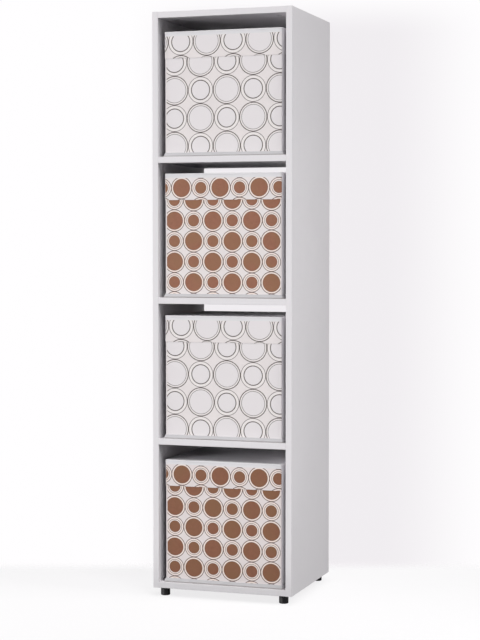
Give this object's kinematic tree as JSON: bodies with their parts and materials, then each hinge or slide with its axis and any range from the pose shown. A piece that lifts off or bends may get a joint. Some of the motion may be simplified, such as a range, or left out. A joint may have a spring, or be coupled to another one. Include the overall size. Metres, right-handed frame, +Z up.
{
  "type": "storage tower",
  "caption": "Tall narrow open-backed storage tower on short round feet, with shelves that carry lidded ring-patterned boxes which slide out.",
  "frame": {"origin": "on the floor, under the middle of the carcass's footprint", "axes": "+Z up along the tower's height; the open front with the boxes faces -Y; +X to the right seen from the front"},
  "size_m": [0.375, 0.345, 1.504],
  "materials": {
    "panel": "light grey-white melamine on chipboard, fine matt texture",
    "edging": "light grey-white edging strip, slightly rounded",
    "steel": "bright zinc plate",
    "beech": "plain beech",
    "foot": "black moulded plastic, satin",
    "white_ring_board": "off-white paper over greyboard, printed with thin grey-brown rings on the front",
    "brown_ring_board": "off-white paper over greyboard, printed with brown dots in rings on the front",
    "plain_board": "plain off-white paper over greyboard"
  },
  "bodies": {
    "carcass": {"side_panel_left": "panel", "side_panel_right": "panel", "top_panel": "panel", "bottom_panel": "panel", "upper_shelf": "panel", "middle_shelf": "panel", "lower_shelf": "panel", "side_left_edging": "edging", "side_right_edging": "edging", "top_panel_edging": "edging", "bottom_panel_edging": "edging", "upper_shelf_edging": "edging", "middle_shelf_edging": "edging", "lower_shelf_edging": "edging", "cam_locks": "steel", "cam_bolts": "steel", "dowels": "beech", "foot_front_left": "foot", "foot_front_right": "foot", "foot_rear_left": "foot", "foot_rear_right": "foot", "foot_screws": "steel"},
    "top_box": {"top_box_body": "white_ring_board", "top_box_base": "plain_board"},
    "top_lid": {"top_box_lid": "white_ring_board"},
    "upper_box": {"upper_box_body": "brown_ring_board", "upper_box_base": "plain_board"},
    "upper_lid": {"upper_box_lid": "brown_ring_board"},
    "lower_box": {"lower_box_body": "white_ring_board", "lower_box_base": "plain_board"},
    "lower_lid": {"lower_box_lid": "white_ring_board"},
    "bottom_box": {"bottom_box_body": "brown_ring_board", "bottom_box_base": "plain_board"},
    "bottom_lid": {"bottom_box_lid": "brown_ring_board"}
  },
  "joints": [
    {"name": "top_box_slide", "type": "slide", "parent": "carcass", "child": "top_box", "axis": [0, -1, 0], "range_m": [-0.028, 0.32]},
    {"name": "top_lid_lift", "type": "slide", "parent": "top_box", "child": "top_lid", "axis": [0, 0, 1], "range_m": [0, 0.0328]},
    {"name": "upper_box_slide", "type": "slide", "parent": "carcass", "child": "upper_box", "axis": [0, -1, 0], "range_m": [-0.028, 0.32]},
    {"name": "upper_lid_lift", "type": "slide", "parent": "upper_box", "child": "upper_lid", "axis": [0, 0, 1], "range_m": [0, 0.0248]},
    {"name": "lower_box_slide", "type": "slide", "parent": "carcass", "child": "lower_box", "axis": [0, -1, 0], "range_m": [-0.028, 0.32]},
    {"name": "lower_lid_lift", "type": "slide", "parent": "lower_box", "child": "lower_lid", "axis": [0, 0, 1], "range_m": [0, 0.0278]},
    {"name": "bottom_box_slide", "type": "slide", "parent": "carcass", "child": "bottom_box", "axis": [0, -1, 0], "range_m": [-0.028, 0.32]},
    {"name": "bottom_lid_lift", "type": "slide", "parent": "bottom_box", "child": "bottom_lid", "axis": [0, 0, 1], "range_m": [0, 0.0368]}
  ]
}
